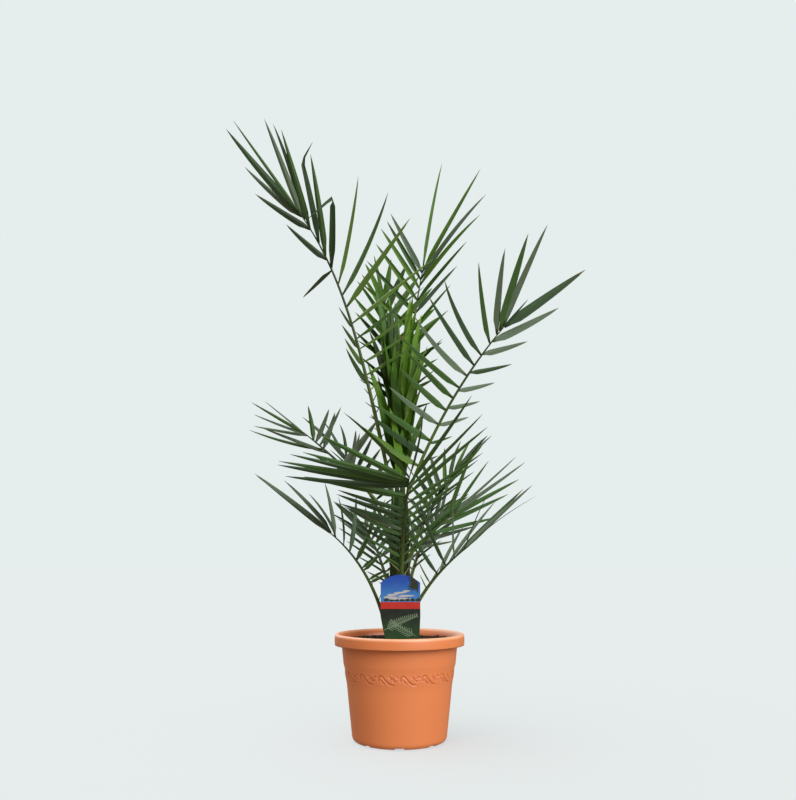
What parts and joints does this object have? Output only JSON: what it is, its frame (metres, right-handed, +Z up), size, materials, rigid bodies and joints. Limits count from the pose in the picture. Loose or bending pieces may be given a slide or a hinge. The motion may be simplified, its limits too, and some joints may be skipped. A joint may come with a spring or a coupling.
{
  "type": "potted young canary island date palm",
  "caption": "Young canary island date palm with feathery arching fronds, standing in a clay-coloured nursery pot with soil and a plant label.",
  "frame": {"origin": "centre of the pot's flat underside", "axes": "+Z up along the stem; -Y towards the side with the plant label; +X to the right of someone facing the label"},
  "size_m": [0.7138, 0.6526, 1.2217],
  "materials": {
    "pot_plastic": "satin clay-coloured plastic",
    "potting_soil": "moist dark peat with crumbs",
    "label_card": "printed plastic card",
    "stem_fibre": "fibrous leaf bases",
    "stalk_green": "smooth leaf stalk with spines",
    "leaf_green": "matt leaf blade",
    "young_leaf_green": "fresh leaf blade"
  },
  "bodies": {
    "root": {"pot": "pot_plastic", "soil": "potting_soil", "plant_label": "label_card", "stem": "stem_fibre", "frond_tall_left_stalk": "stalk_green", "frond_tall_left_blade": "leaf_green", "frond_tall_right_stalk": "stalk_green", "frond_tall_right_blade": "leaf_green", "frond_tall_back_stalk": "stalk_green", "frond_tall_back_blade": "leaf_green", "frond_right_stalk": "stalk_green", "frond_right_blade": "leaf_green", "frond_mid_left_stalk": "stalk_green", "frond_mid_left_blade": "leaf_green", "frond_mid_right_stalk": "stalk_green", "frond_mid_right_blade": "leaf_green", "frond_front_stalk": "stalk_green", "frond_front_blade": "leaf_green", "frond_low_left_stalk": "stalk_green", "frond_low_left_blade": "leaf_green", "frond_low_right_stalk": "stalk_green", "frond_low_right_blade": "leaf_green", "frond_back_mid_left_stalk": "stalk_green", "frond_back_mid_left_blade": "leaf_green", "frond_back_mid_right_stalk": "stalk_green", "frond_back_mid_right_blade": "leaf_green", "frond_back_low_left_stalk": "stalk_green", "frond_back_low_left_blade": "leaf_green", "frond_back_low_right_stalk": "stalk_green", "frond_back_low_right_blade": "leaf_green", "spear_left_stalk": "stalk_green", "spear_left_blade": "young_leaf_green", "spear_right_stalk": "stalk_green", "spear_right_blade": "young_leaf_green"}
  },
  "joints": []
}
